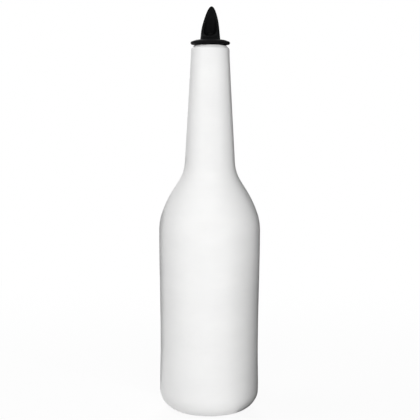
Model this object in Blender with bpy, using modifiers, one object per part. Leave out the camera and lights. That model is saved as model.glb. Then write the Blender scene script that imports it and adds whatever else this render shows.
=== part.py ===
"""A bartender's practice bottle of white moulded plastic with a black free-flow pourer in its mouth.

Metres, +Z up. The origin is the middle of the base, on the surface that the bottle stands on.
A turned profile is a list of (radius, height) pairs that runs down its outer side.
"""

import math

import bmesh
import bpy
from mathutils import Matrix, Vector
from mathutils.geometry import interpolate_bezier

# Clearance between pieces that touch or seat on each other
FIT_GAP = 0.0003

# Bottle: overall sizes
BOTTLE_HEIGHT = 0.2696
SHOULDER_DIAMETER = 0.0749
WAIST_DIAMETER = 0.0730
HEEL_DIAMETER = 0.0738
WAIST_HEIGHT = 0.0490
WALL = 0.0025

# Bottle: mouth and neck
MOUTH_BORE = 0.0190
MOUTH_WALL = 0.00455
LIP_CHAMFER = 0.0025
NECK_LENGTH = 0.0851
NECK_BASE_DIAMETER = 0.0371
BORE_BELOW_CORK = 0.0055

# Bottle: shoulder, from the neck down
NECK_BLEND_RADIUS = 0.0280
SHOULDER_SLOPE = math.radians(32.3)
SHOULDER_CROWN_RADIUS = 0.0825
CORNER_SLOPE = math.radians(19.2)
SHOULDER_CORNER_RADIUS = 0.0400

# Bottle: base
HEEL_RADIUS = 0.0150
BEARING_RING_WIDTH = 0.0030
PUSH_UP_HEIGHT = 0.0045

# Pourer cork, from its fins inwards
CORK_LENGTH = 0.0240
FIN_COUNT = 4
FIN_REACH = 0.0014
FIN_ROOT = 0.0016
FIN_EDGE = 0.0007
FIN_SWEEP = 0.0006
CORK_WALL = 0.0013
CORK_NOSE = 0.0006

# Pour spout: stem and collar
STEM_WALL = 0.0010
BARB_REACH = 0.0006
BARB_LENGTH = 0.0020
COLLAR_DIAMETER = 0.0289
COLLAR_THICKNESS = 0.0036
COLLAR_RIM_RADIUS = 0.0011
COLLAR_RIM_HEIGHT = 0.00145
SEAT_DIAMETER = 0.0222

# Pour spout: beak, with heights above the collar
BEAK_HEIGHT = 0.0250
BEAK_ROOT_WALL = 0.00215
BEAK_TIP_DIAMETER = 0.0096
BEAK_TIP_WALL = 0.0010
BEAK_FOOT_RADIUS = 0.0008
BEAK_TURN = math.radians(-10.0)
SCOOP_LIP_HEIGHT = 0.0020
SCOOP_LIP_ANGLE = math.radians(75.0)
SCOOP_LIP_PULL = 0.0080
SCOOP_TIP_ANGLE = math.radians(10.0)
SCOOP_TIP_PULL = 0.0090

# Air tube and the boss that holds it inside the beak
TUBE_DIAMETER = 0.0036
TUBE_WALL = 0.0005
TUBE_REACH = 0.0480
TUBE_SIDE_GAP = 0.0007
TUBE_END_SLANT = math.radians(35.0)
BOSS_WALL = 0.0008
BOSS_HEIGHT = 0.0057
BOSS_ROOT = 0.0005
BOSS_ROOF = 0.0012
VENT_DIAMETER = 0.0020
VENT_STEP = 0.0004

# Facets round a turned shape and along its curves
BOTTLE_FACETS = 48
POURER_FACETS = 32
TUBE_FACETS = 16
ARC_STEPS = 4
SWEEP_STEPS = 6
FILLET_STEPS = 2
SHARP_EDGE = math.radians(35.0)
WELD = 0.00001

# Sizes that follow from the ones above
mouth_radius = MOUTH_BORE / 2
neck_top_radius = mouth_radius + MOUTH_WALL
cork_core_radius = mouth_radius - FIT_GAP - FIN_REACH
cork_bore_radius = cork_core_radius - CORK_WALL
stem_radius = cork_bore_radius - FIT_GAP
stem_bore_radius = stem_radius - STEM_WALL
beak_root_radius = stem_bore_radius + BEAK_ROOT_WALL
beak_tip_radius = BEAK_TIP_DIAMETER / 2
tube_radius = TUBE_DIAMETER / 2
tube_offset = stem_bore_radius - TUBE_SIDE_GAP - tube_radius
socket_radius = tube_radius + FIT_GAP

# Heights above the lip, where the pourer's pieces have their origin
seat_level = FIT_GAP
crown_level = seat_level + COLLAR_THICKNESS
tip_level = crown_level + BEAK_HEIGHT
cork_bottom_level = -CORK_LENGTH
socket_top_level = crown_level - BOSS_ROOT + BOSS_HEIGHT - BOSS_ROOF
vent_level = socket_top_level - VENT_DIAMETER / 2
tube_top_level = socket_top_level - VENT_DIAMETER - VENT_STEP


def clear_scene():
    for obj in list(bpy.data.objects):
        bpy.data.objects.remove(obj, do_unlink=True)


def new_collection(name):
    collection = bpy.data.collections.new(name)
    bpy.context.scene.collection.children.link(collection)
    return collection


def plastic(name, colour, roughness):
    """A material of one plain plastic."""
    material = bpy.data.materials.new(name)
    material.use_nodes = True
    shader = material.node_tree.nodes["Principled BSDF"]
    shader.inputs["Base Color"].default_value = (*colour, 1.0)
    shader.inputs["Roughness"].default_value = roughness
    shader.inputs["Metallic"].default_value = 0.0
    return material


def bend(start, radius, slope_from, slope_to, steps=ARC_STEPS):
    """An arc down from a point, which it leaves out. Slopes are measured from straight down."""
    outward = 1 if slope_to > slope_from else -1
    points = []
    for step in range(1, steps + 1):
        slope = slope_from + (slope_to - slope_from) * step / steps
        r = start[0] + outward * radius * (math.cos(slope_from) - math.cos(slope))
        z = start[1] - outward * radius * (math.sin(slope) - math.sin(slope_from))
        points.append((r, z))
    return points


def ease(start, end, steps):
    """A wall down from one point to another that is upright at both. It leaves the start out."""
    points = []
    for step in range(1, steps + 1):
        share = (1 - math.cos(math.pi * step / steps)) / 2
        z = start[1] + (end[1] - start[1]) * step / steps
        points.append((start[0] + (end[0] - start[0]) * share, z))
    return points


def inset(points, distance):
    """The same line moved into the wall. It ends on the axis and runs on there as its mirror image."""
    past_axis = (-points[-2][0], points[-2][1])
    line = [points[0]] + points + [past_axis]
    moved = []
    for before, point, after in zip(line, points, line[2:]):
        along = (Vector(after) - Vector(before)).normalized()
        moved.append((point[0] + along.y * distance, point[1] - along.x * distance))
    return moved


def shoulder_wall(neck_base, taper):
    """The hollow blend under the neck, the sloping shoulder and the corner that turns into the body."""
    shoulder_radius = SHOULDER_DIAMETER / 2
    blend = NECK_BLEND_RADIUS * (math.cos(taper) - math.cos(SHOULDER_SLOPE))
    crown = SHOULDER_CROWN_RADIUS * (math.cos(CORNER_SLOPE) - math.cos(SHOULDER_SLOPE))
    corner = SHOULDER_CORNER_RADIUS * (1 - math.cos(CORNER_SLOPE))
    reach = shoulder_radius - neck_base[0]
    # The arcs shrink together where a slim shoulder leaves them no room
    fit = min(1.0, reach / (blend + crown + corner))
    straight = reach - fit * (blend + crown + corner)

    wall = [neck_base]
    wall += bend(wall[-1], fit * NECK_BLEND_RADIUS, taper, SHOULDER_SLOPE)
    wall.append((wall[-1][0] + straight, wall[-1][1] - straight / math.tan(SHOULDER_SLOPE)))
    wall += bend(wall[-1], fit * SHOULDER_CROWN_RADIUS, SHOULDER_SLOPE, CORNER_SLOPE)
    wall += bend(wall[-1], fit * SHOULDER_CORNER_RADIUS, CORNER_SLOPE, 0.0)
    return wall


def base_wall(heel_top):
    """The round heel, the flat ring that the bottle stands on and the push-up inside the ring."""
    wall = bend(heel_top, HEEL_RADIUS, 0.0, -math.pi / 2, SWEEP_STEPS)
    ring_inner = wall[-1][0] - BEARING_RING_WIDTH
    wall.append((ring_inner, 0.0))
    for step in range(1, ARC_STEPS + 1):
        r = ring_inner * (1 - step / ARC_STEPS)
        wall.append((r, PUSH_UP_HEIGHT * (1 + math.cos(math.pi * r / ring_inner)) / 2))
    return wall


def bottle_profile():
    """Up the inside from the middle of the floor, over the lip and down the outside."""
    lip_outer = (neck_top_radius - LIP_CHAMFER, BOTTLE_HEIGHT)
    neck_top = (neck_top_radius, BOTTLE_HEIGHT - LIP_CHAMFER)
    neck_base = (NECK_BASE_DIAMETER / 2, BOTTLE_HEIGHT - NECK_LENGTH)
    taper = math.atan2(neck_base[0] - neck_top[0], neck_top[1] - neck_base[1])

    outer = shoulder_wall(neck_base, taper)
    outer += ease(outer[-1], (WAIST_DIAMETER / 2, WAIST_HEIGHT), SWEEP_STEPS)
    outer += ease(outer[-1], (HEEL_DIAMETER / 2, HEEL_RADIUS), ARC_STEPS)
    outer += base_wall(outer[-1])

    bore_end = BOTTLE_HEIGHT - CORK_LENGTH - BORE_BELOW_CORK
    flare = neck_top_radius + (neck_top[1] - bore_end) * math.tan(taper) - WALL - mouth_radius
    inner = [(mouth_radius, BOTTLE_HEIGHT), (mouth_radius, bore_end)]
    inner.append((mouth_radius + flare, bore_end - flare))
    inner += inset(outer, WALL)
    return inner[::-1] + [lip_outer, neck_top] + outer


def beak_wall():
    """Down the outside of the beak and round its foot. It starts above the tip, where the scoop ends it."""
    taper = math.atan2(beak_root_radius - beak_tip_radius, BEAK_HEIGHT)
    foot_height = BEAK_FOOT_RADIUS * (1 - math.sin(taper))
    top = (beak_tip_radius - BEAK_TIP_WALL * math.tan(taper), tip_level + BEAK_TIP_WALL)
    foot = (beak_root_radius - foot_height * math.tan(taper), crown_level + foot_height)
    return [top, foot] + bend(foot, BEAK_FOOT_RADIUS, taper, math.pi / 2, FILLET_STEPS)


def collar_wall(foot):
    """From the beak's foot over the domed top, round the rim and in under it to the stem."""
    rim_radius = COLLAR_DIAMETER / 2 - COLLAR_RIM_RADIUS
    rim_level = seat_level + COLLAR_RIM_HEIGHT
    rim_top = (rim_radius, rim_level + COLLAR_RIM_RADIUS)
    corner = ((rim_radius + foot[0]) / 2, crown_level)
    dome = interpolate_bezier(foot, corner, corner, rim_top, ARC_STEPS + 1)
    wall = [(point[0], point[1]) for point in dome[1:]]
    for step in range(1, ARC_STEPS + 1):
        angle = math.pi / 2 - math.pi * step / ARC_STEPS
        r = rim_radius + COLLAR_RIM_RADIUS * math.cos(angle)
        wall.append((r, rim_level + COLLAR_RIM_RADIUS * math.sin(angle)))
    wall.append((SEAT_DIAMETER / 2, seat_level))
    wall.append((stem_radius, seat_level))
    return wall


def stem_wall():
    """Down the outside of the stem, over the barb that keeps the cork on, to its open end."""
    barb_top = cork_bottom_level - FIT_GAP
    end = barb_top - BARB_LENGTH
    return [
        (stem_radius, barb_top),
        (stem_radius + BARB_REACH, barb_top),
        (stem_radius - STEM_WALL / 2, end),
        (stem_bore_radius, end),
    ]


def spout_profile():
    """Down the beak, round the collar, down the stem and back up the bore."""
    beak = beak_wall()
    bore = [(stem_bore_radius, crown_level), (beak[0][0] - BEAK_TIP_WALL, beak[0][1])]
    return beak + collar_wall(beak[-1]) + stem_wall() + bore


def cork_profile():
    """The soft sleeve with its fins. The pull of the neck sweeps the fins upwards."""
    fin_tip_radius = mouth_radius - FIT_GAP
    profile = [(cork_bore_radius, 0.0), (cork_core_radius, 0.0)]
    pitch = CORK_LENGTH / (FIN_COUNT + 0.5)
    for fin in range(FIN_COUNT):
        level = -pitch * (fin + 0.5)
        profile.append((cork_core_radius, level + FIN_ROOT / 2))
        profile.append((fin_tip_radius, level + FIN_SWEEP + FIN_EDGE / 2))
        profile.append((fin_tip_radius, level + FIN_SWEEP - FIN_EDGE / 2))
        profile.append((cork_core_radius, level - FIN_ROOT / 2))
    profile.append((cork_core_radius, cork_bottom_level + CORK_NOSE))
    profile.append((cork_core_radius - CORK_NOSE, cork_bottom_level))
    profile.append((cork_bore_radius, cork_bottom_level))
    return profile


def tube_profile():
    """A plain thin tube, long enough for its slanted end to be cut from it."""
    bore = tube_radius - TUBE_WALL
    bottom = -TUBE_REACH
    return [(bore, tube_top_level), (tube_radius, tube_top_level), (tube_radius, bottom), (bore, bottom)]


def turned(name, profile, facets, collection, closed):
    """A profile turned about Z. A closed one is a ring, and an open one starts and ends on the axis."""
    mesh = bpy.data.meshes.new(name)
    count = len(profile)
    edges = [(index, index + 1) for index in range(count - 1)]
    if closed:
        edges.append((count - 1, 0))
    mesh.from_pydata([(r, 0.0, z) for r, z in profile], edges, [])
    obj = bpy.data.objects.new(name, mesh)
    collection.objects.link(obj)
    screw = obj.modifiers.new("Turn", "SCREW")
    screw.steps = facets
    screw.render_steps = facets
    screw.use_merge_vertices = True
    screw.merge_threshold = WELD
    return obj


def mesh_of(obj):
    """The evaluated shape as a new mesh with its caps welded."""
    graph = bpy.context.evaluated_depsgraph_get()
    mesh = bpy.data.meshes.new_from_object(obj.evaluated_get(graph))
    shape = bmesh.new()
    shape.from_mesh(mesh)
    bmesh.ops.remove_doubles(shape, verts=shape.verts, dist=WELD)
    bmesh.ops.recalc_face_normals(shape, faces=shape.faces)
    shape.to_mesh(mesh)
    shape.free()
    return mesh


def as_helper(obj):
    """Keeps a shape that only cuts or joins another one out of the picture."""
    obj.hide_render = True
    obj.display_type = "WIRE"
    return obj


def round_helper(name, radius, bottom, top, helpers):
    """An upright rod on the tube's line, from one level to another."""
    profile = [(0.0, top), (radius, top), (radius, bottom), (0.0, bottom)]
    rod = turned(name, profile, TUBE_FACETS, helpers, closed=False)
    rod.location = (0.0, tube_offset, 0.0)
    return as_helper(rod)


def vent_helper(helpers):
    """A level rod from the tube's line out through the back of the beak."""
    rod = round_helper("vent_hole", VENT_DIAMETER / 2, 0.0, 2 * beak_root_radius, helpers)
    rod.location.z = vent_level
    rod.rotation_euler = (math.radians(-90.0), 0.0, 0.0)
    return rod


def scoop_outline():
    """Side view of what is cut from the beak: x towards its open side, y up from the collar."""
    taper = (beak_root_radius - beak_tip_radius) / BEAK_HEIGHT
    tip = Vector((-beak_tip_radius, BEAK_HEIGHT))
    down = Vector((math.sin(SCOOP_TIP_ANGLE), -math.cos(SCOOP_TIP_ANGLE)))
    lip = Vector((beak_root_radius - taper * SCOOP_LIP_HEIGHT, SCOOP_LIP_HEIGHT))
    outward = Vector((math.sin(SCOOP_LIP_ANGLE), -math.cos(SCOOP_LIP_ANGLE)))
    tip_handle = tip + down * SCOOP_TIP_PULL
    lip_handle = lip - outward * SCOOP_LIP_PULL
    edge = interpolate_bezier(tip, tip_handle, lip_handle, lip, 2 * SWEEP_STEPS)
    above = tip - down * 3 * BEAK_TIP_WALL
    beyond = lip + outward * BEAK_ROOT_WALL
    return [above, *edge, beyond, Vector((beyond.x, above.y))]


def scoop_helper(helpers):
    """The side view made thick enough to cut right across the beak."""
    curve = bpy.data.curves.new("scoop_outline", "CURVE")
    curve.dimensions = "2D"
    curve.fill_mode = "BOTH"
    curve.extrude = beak_root_radius + BEAK_ROOT_WALL
    outline = scoop_outline()
    spline = curve.splines.new("POLY")
    spline.points.add(len(outline) - 1)
    for point, place in zip(spline.points, outline):
        point.co = (place.x, place.y, 0.0, 1.0)
    spline.use_cyclic_u = True

    flat = bpy.data.objects.new("scoop_outline", curve)
    helpers.objects.link(flat)
    flat.location = (0.0, 0.0, crown_level)
    flat.rotation_euler = (math.radians(90.0), 0.0, math.radians(-90.0))
    bpy.context.view_layer.update()
    scoop = bpy.data.objects.new("scoop", mesh_of(flat))
    helpers.objects.link(scoop)
    scoop.matrix_world = flat.matrix_world
    bpy.data.objects.remove(flat)
    return as_helper(scoop)


def slant_helper(helpers):
    """A block under a sloping plane that just meets one side of the tube's lower end."""
    side = 4 * TUBE_DIAMETER
    bpy.ops.mesh.primitive_cube_add(size=side)
    block = bpy.context.active_object
    block.name = "tube_end_slant"
    block.data.transform(Matrix.Translation((0.0, 0.0, -side / 2)))
    for owner in list(block.users_collection):
        owner.objects.unlink(block)
    helpers.objects.link(block)
    block.location = (0.0, 0.0, -TUBE_REACH + tube_radius * math.tan(TUBE_END_SLANT))
    block.rotation_euler = (TUBE_END_SLANT, 0.0, 0.0)
    return as_helper(block)


def combine(target, operation, other):
    """One Boolean step. The other shape moves with the target."""
    other.parent = target
    step = target.modifiers.new(other.name, "BOOLEAN")
    step.operation = operation
    step.solver = "EXACT"
    step.object = other


def finish(obj, material):
    """Turns the modifiers into a plain mesh, shades it smooth and gives it its plastic."""
    bpy.context.view_layer.update()
    rough = obj.data
    obj.data = mesh_of(obj)
    obj.modifiers.clear()
    bpy.data.meshes.remove(rough)
    obj.data.name = obj.name
    obj.data.shade_smooth()
    obj.data.set_sharp_from_angle(angle=SHARP_EDGE)
    obj.data.materials.append(material)


def make_bottle(parts):
    bottle = turned("bottle", bottle_profile(), BOTTLE_FACETS, parts, closed=False)
    finish(bottle, plastic("white_plastic", (0.86, 0.86, 0.86), 0.28))
    return bottle


def make_cork(parts):
    cork = turned("pourer_cork", cork_profile(), POURER_FACETS, parts, closed=True)
    finish(cork, plastic("soft_black_plastic", (0.022, 0.022, 0.023), 0.6))
    return cork


def make_spout(parts, helpers):
    """One moulding: beak, collar and stem, with the boss that holds the air tube and its vent."""
    boss_bottom = crown_level - BOSS_ROOT
    boss_radius = socket_radius + BOSS_WALL
    spout = turned("pour_spout", spout_profile(), POURER_FACETS, parts, closed=True)
    boss = round_helper("boss", boss_radius, boss_bottom, boss_bottom + BOSS_HEIGHT, helpers)
    socket = round_helper("socket", socket_radius, cork_bottom_level, socket_top_level, helpers)
    combine(spout, "UNION", boss)
    combine(spout, "DIFFERENCE", socket)
    combine(spout, "DIFFERENCE", vent_helper(helpers))
    combine(spout, "DIFFERENCE", scoop_helper(helpers))
    finish(spout, plastic("black_plastic", (0.012, 0.012, 0.013), 0.35))
    return spout


def make_tube(parts, helpers):
    tube = turned("air_tube", tube_profile(), TUBE_FACETS, parts, closed=True)
    combine(tube, "DIFFERENCE", slant_helper(helpers))
    finish(tube, plastic("tube_plastic", (0.62, 0.62, 0.60), 0.4))
    return tube


def main():
    clear_scene()
    parts = new_collection("flair_bottle")
    helpers = new_collection("helpers")
    helpers.hide_render = True

    make_bottle(parts)
    seat = bpy.data.objects.new("pourer_seat", None)
    seat.empty_display_size = mouth_radius
    seat.location = (0.0, 0.0, BOTTLE_HEIGHT)
    parts.objects.link(seat)

    cork = make_cork(parts)
    cork.parent = seat
    spout = make_spout(parts, helpers)
    spout.parent = cork
    spout.rotation_euler = (0.0, 0.0, BEAK_TURN)
    tube = make_tube(parts, helpers)
    tube.parent = spout
    tube.location = (0.0, tube_offset, 0.0)


main()
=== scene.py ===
"""Looks of a white moulded practice bottle with a black free-flow pourer in its mouth.

Metres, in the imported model's frame: +Z runs up the bottle and the origin is the middle of its base.
A line of a turned shape is a list of (radius, height) pairs that runs down its outer side.
"""

import bisect
import math

import bmesh
import bpy
from mathutils import Matrix, Vector
from mathutils.geometry import interpolate_bezier


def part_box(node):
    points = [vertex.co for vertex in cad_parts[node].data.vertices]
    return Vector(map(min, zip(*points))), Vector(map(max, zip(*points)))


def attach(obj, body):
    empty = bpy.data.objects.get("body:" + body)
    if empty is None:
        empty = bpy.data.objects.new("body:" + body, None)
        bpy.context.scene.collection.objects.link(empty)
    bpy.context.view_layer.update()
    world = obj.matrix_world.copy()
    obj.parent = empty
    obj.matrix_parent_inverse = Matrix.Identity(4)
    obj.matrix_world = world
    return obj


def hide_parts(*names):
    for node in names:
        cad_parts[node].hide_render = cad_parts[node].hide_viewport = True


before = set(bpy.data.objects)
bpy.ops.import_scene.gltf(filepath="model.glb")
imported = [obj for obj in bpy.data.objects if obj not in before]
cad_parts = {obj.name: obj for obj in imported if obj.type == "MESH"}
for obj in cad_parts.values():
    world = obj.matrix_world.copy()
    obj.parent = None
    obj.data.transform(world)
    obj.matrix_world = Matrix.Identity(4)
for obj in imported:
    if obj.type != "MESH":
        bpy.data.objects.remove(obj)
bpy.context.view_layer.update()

# Clearance between pieces that touch
FIT_GAP = 0.0003

# Bottle: overall sizes
BOTTLE_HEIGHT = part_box("bottle")[1].z
SHOULDER_DIAMETER = 0.0749
WAIST_DIAMETER = 0.0730
HEEL_DIAMETER = 0.0738
WAIST_HEIGHT = 0.0490
WALL = 0.0025

# Bottle: mouth and neck
MOUTH_BORE = 0.0190
MOUTH_WALL = 0.00455
MOUTH_EDGE = 0.0005
LIP_CHAMFER = 0.0025
LIP_TOP_EDGE = 0.00025
LIP_UNDER_EDGE = 0.0022
LIP_CREASE_AT = (0.44, 0.52, 0.60)
LIP_CREASE_DEPTH = 0.00016
NECK_LENGTH = 0.0851
NECK_BASE_DIAMETER = 0.0371
BORE_BELOW_CORK = 0.0055

# Bottle: shoulder, from the neck down
NECK_BLEND_RADIUS = 0.0280
SHOULDER_SLOPE = math.radians(32.3)
SHOULDER_CROWN_RADIUS = 0.0825
CORNER_SLOPE = math.radians(19.2)
SHOULDER_CORNER_RADIUS = 0.0400

# Bottle: base
HEEL_RADIUS = 0.0150
BEARING_RING_WIDTH = 0.0030
PUSH_UP_HEIGHT = 0.0045

# Bottle: what the mould leaves on the skin
SKIN_DEPTH = 0.00016
SKIN_WAVE = 0.034
SKIN_STRETCH = 2.6
SKIN_FADE = 0.030
PARTING_TURN = math.radians(82.0)
PARTING_HEIGHT = 0.00010
PARTING_HALF_WIDTH = 0.0005
PINCH_OFF_RISE = 4.0

# Pourer cork, from its fins inwards
CORK_LENGTH = 0.0240
FIN_COUNT = 4
FIN_REACH = 0.0014
FIN_ROOT = 0.0016
FIN_EDGE = 0.0007
FIN_SWEEP = 0.0006
FIN_ROUNDING = 0.00022
FIN_BITE = 0.0005
CORK_WALL = 0.0013
CORK_NOSE = 0.0006
CORK_EDGE = 0.0002

# Pour spout: stem and collar
STEM_WALL = 0.0010
STEM_END_EDGE = 0.00015
BARB_REACH = 0.0006
BARB_LENGTH = 0.0020
BARB_EDGE = 0.0001
COLLAR_DIAMETER = 0.0289
COLLAR_THICKNESS = 0.0036
COLLAR_RIM_RADIUS = 0.0011
COLLAR_RIM_HEIGHT = 0.00145
SEAT_DIAMETER = 0.0222

# Pour spout: beak, with heights above the collar
BEAK_HEIGHT = 0.0250
BEAK_ROOT_WALL = 0.00215
BEAK_TIP_DIAMETER = 0.0096
BEAK_TIP_WALL = 0.0010
BEAK_FOOT_RADIUS = 0.0008
BEAK_TURN = math.radians(-10.0)
BEAK_EDGE = 0.00032
BEAK_EDGE_SHARE = 0.4
SCOOP_LIP_HEIGHT = 0.0020
SCOOP_LIP_ANGLE = math.radians(75.0)
SCOOP_LIP_PULL = 0.0080
SCOOP_TIP_ANGLE = math.radians(10.0)
SCOOP_TIP_PULL = 0.0090

# Air tube and the boss that holds it inside the beak
TUBE_DIAMETER = 0.0036
TUBE_WALL = 0.0005
TUBE_REACH = 0.0480
TUBE_SIDE_GAP = 0.0007
TUBE_END_SLANT = math.radians(35.0)
TUBE_EDGE = 0.00012
BOSS_WALL = 0.0008
BOSS_HEIGHT = 0.0057
BOSS_ROOT = 0.0005
BOSS_ROOF = 0.0012
BOSS_EDGE = 0.0005
VENT_DIAMETER = 0.0020
VENT_STEP = 0.0004
VENT_FLARE = 0.00035

# A turn and a drop that keep edges of the socket and the vent off those of the forms they cut
SOCKET_TURN = 0.5
VENT_DROP = 0.00006

# Columns round a turned shape, and steps along its curves
BOTTLE_COLUMNS = 224
SPOUT_COLUMNS = 160
CORK_COLUMNS = 96
TUBE_COLUMNS = 48
ROD_COLUMNS = 64
ROW_SPACING = 0.0020
INNER_ROW_SPACING = 0.0045
ARC_STEPS = 16
EDGE_STEPS = 4
FIN_EDGE_STEPS = 3
WALL_ROWS = 22
SCOOP_STEPS = 240
CUT_SEARCH_STEPS = 40
SHARP_EDGE = math.radians(35.0)
NEARLY_STRAIGHT = math.pi - 0.001
WELD = 0.000001
AXIS_CLEAR = 0.001

# Sizes that follow from the ones above
mouth_radius = MOUTH_BORE / 2
neck_top_radius = mouth_radius + MOUTH_WALL
cork_core_radius = mouth_radius - FIT_GAP - FIN_REACH
cork_bore_radius = cork_core_radius - CORK_WALL
stem_radius = cork_bore_radius - FIT_GAP
stem_bore_radius = stem_radius - STEM_WALL
beak_root_radius = stem_bore_radius + BEAK_ROOT_WALL
beak_tip_radius = BEAK_TIP_DIAMETER / 2
beak_taper = (beak_root_radius - beak_tip_radius) / BEAK_HEIGHT
tube_radius = TUBE_DIAMETER / 2
tube_offset = stem_bore_radius - TUBE_SIDE_GAP - tube_radius
socket_radius = tube_radius + FIT_GAP

# Heights above the lip
seat_level = FIT_GAP
crown_level = seat_level + COLLAR_THICKNESS
cork_bottom_level = -CORK_LENGTH
socket_top_level = crown_level - BOSS_ROOT + BOSS_HEIGHT - BOSS_ROOF
vent_level = socket_top_level - VENT_DIAMETER / 2
tube_top_level = socket_top_level - VENT_DIAMETER - VENT_STEP

# Where the pourer stands, as a move from the lip's own heights to the frame's
pourer_place = Matrix.Translation((0.0, 0.0, BOTTLE_HEIGHT)) @ Matrix.Rotation(BEAK_TURN, 4, "Z")


class Nodes:
    """Adds nodes to a tree. An input is a value, or the socket of another node to link from."""

    def __init__(self, tree):
        self.tree = tree
        self.count = 0

    def add(self, kind, inputs=None, **settings):
        node = self.tree.nodes.new(kind)
        node.location = (200 * self.count, 0)
        self.count += 1
        for key, value in settings.items():
            setattr(node, key, value)
        for key, value in (inputs or {}).items():
            if isinstance(value, bpy.types.NodeSocket):
                self.tree.links.new(value, node.inputs[key])
            else:
                node.inputs[key].default_value = value
        return node

    def math(self, operation, *values):
        """The outcome of one sum on numbers."""
        return self.add("ShaderNodeMath", dict(enumerate(values)), operation=operation).outputs[0]

    def vector(self, operation, *values):
        """One sum on vectors, as its node."""
        return self.add("ShaderNodeVectorMath", dict(enumerate(values)), operation=operation)


def group_tree(name, kind, inputs, outputs):
    """A node group with named inputs, as name: (socket type, value), and named outputs."""
    tree = bpy.data.node_groups.new(name, kind)
    for label, (socket_type, value) in inputs.items():
        socket = tree.interface.new_socket(label, in_out="INPUT", socket_type=socket_type)
        if value is not None:
            socket.default_value = value
    for label, socket_type in outputs.items():
        tree.interface.new_socket(label, in_out="OUTPUT", socket_type=socket_type)
    nodes = Nodes(tree)
    return tree, nodes, nodes.add("NodeGroupInput").outputs


def rounded(corners, steps=EDGE_STEPS):
    """A line through (radius, height, rounding) corners, each made an arc of that rounding."""
    line = [Vector(corners[0][:2])]
    for before, corner, after in zip(corners, corners[1:], corners[2:]):
        place, rounding = Vector(corner[:2]), corner[2]
        back = (Vector(before[:2]) - place).normalized()
        ahead = (Vector(after[:2]) - place).normalized()
        opening = back.angle(ahead)
        if rounding <= 0.0 or opening > NEARLY_STRAIGHT:
            line.append(place)
            continue
        reach = rounding / math.tan(opening / 2)
        handle = 4 / 3 * math.tan((math.pi - opening) / 4) * rounding
        start, end = place + back * reach, place + ahead * reach
        line += interpolate_bezier(
            start, start - back * handle, end - ahead * handle, end, steps + 1)
    line.append(Vector(corners[-1][:2]))
    return [(point.x, point.y) for point in line]


def along(line, start, end, count):
    """Points evenly spaced on a line, between two distances measured along it."""
    line = [Vector(point) for point in line]
    marks = [0.0]
    for here, there in zip(line, line[1:]):
        marks.append(marks[-1] + (there - here).length)
    points = []
    for index in range(count):
        mark = start + (end - start) * index / (count - 1)
        leg = min(max(bisect.bisect_right(marks, mark), 1), len(line) - 1)
        share = (mark - marks[leg - 1]) / max(marks[leg] - marks[leg - 1], WELD)
        point = line[leg - 1].lerp(line[leg], share)
        points.append((point.x, point.y))
    return points


def length_of(line):
    return sum((Vector(there) - Vector(here)).length for here, there in zip(line, line[1:]))


def with_rows(line, spacing):
    """The same line with more points, so that no step is longer than the spacing."""
    fuller = [line[0]]
    for here, there in zip(line, line[1:]):
        steps = max(1, math.ceil((Vector(there) - Vector(here)).length / spacing))
        for step in range(1, steps + 1):
            point = Vector(here).lerp(Vector(there), step / steps)
            fuller.append((point.x, point.y))
    return fuller


def bend(start, radius, slope_from, slope_to, steps=ARC_STEPS):
    """An arc down from a point, which it leaves out. Slopes are measured from straight down."""
    outward = 1 if slope_to > slope_from else -1
    points = []
    for step in range(1, steps + 1):
        slope = slope_from + (slope_to - slope_from) * step / steps
        r = start[0] + outward * radius * (math.cos(slope_from) - math.cos(slope))
        z = start[1] - outward * radius * (math.sin(slope) - math.sin(slope_from))
        points.append((r, z))
    return points


def ease(start, end, steps):
    """A wall down from one point to another that is upright at both. It leaves the start out."""
    points = []
    for step in range(1, steps + 1):
        share = (1 - math.cos(math.pi * step / steps)) / 2
        z = start[1] + (end[1] - start[1]) * step / steps
        points.append((start[0] + (end[0] - start[0]) * share, z))
    return points


def inset(points, distance):
    """A line that ends on the axis, moved into the wall as if it ran on mirrored past the axis."""
    past_axis = (-points[-2][0], points[-2][1])
    line = [points[0]] + points + [past_axis]
    moved = []
    for before, point, after in zip(line, points, line[2:]):
        along_wall = (Vector(after) - Vector(before)).normalized()
        moved.append((point[0] + along_wall.y * distance, point[1] - along_wall.x * distance))
    return moved


def lip_line():
    """From the bore over the lip and down its chamfer, with the crease that the mould leaves."""
    top = Vector((neck_top_radius - LIP_CHAMFER, BOTTLE_HEIGHT))
    bottom = Vector((neck_top_radius, BOTTLE_HEIGHT - LIP_CHAMFER))
    inward = Vector((-1.0, -1.0)).normalized() * LIP_CREASE_DEPTH
    upper, middle, lower = (top.lerp(bottom, share) for share in LIP_CREASE_AT)
    middle += inward
    below = bottom - Vector((0.0, 2 * LIP_UNDER_EDGE))
    return rounded([
        (mouth_radius, BOTTLE_HEIGHT - 2 * MOUTH_EDGE, 0.0),
        (mouth_radius, BOTTLE_HEIGHT, MOUTH_EDGE),
        (*top, LIP_TOP_EDGE),
        (*upper, LIP_CREASE_DEPTH),
        (*middle, LIP_CREASE_DEPTH),
        (*lower, LIP_CREASE_DEPTH),
        (*bottom, LIP_UNDER_EDGE),
        (*below, 0.0),
    ], EDGE_STEPS + 1)


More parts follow.
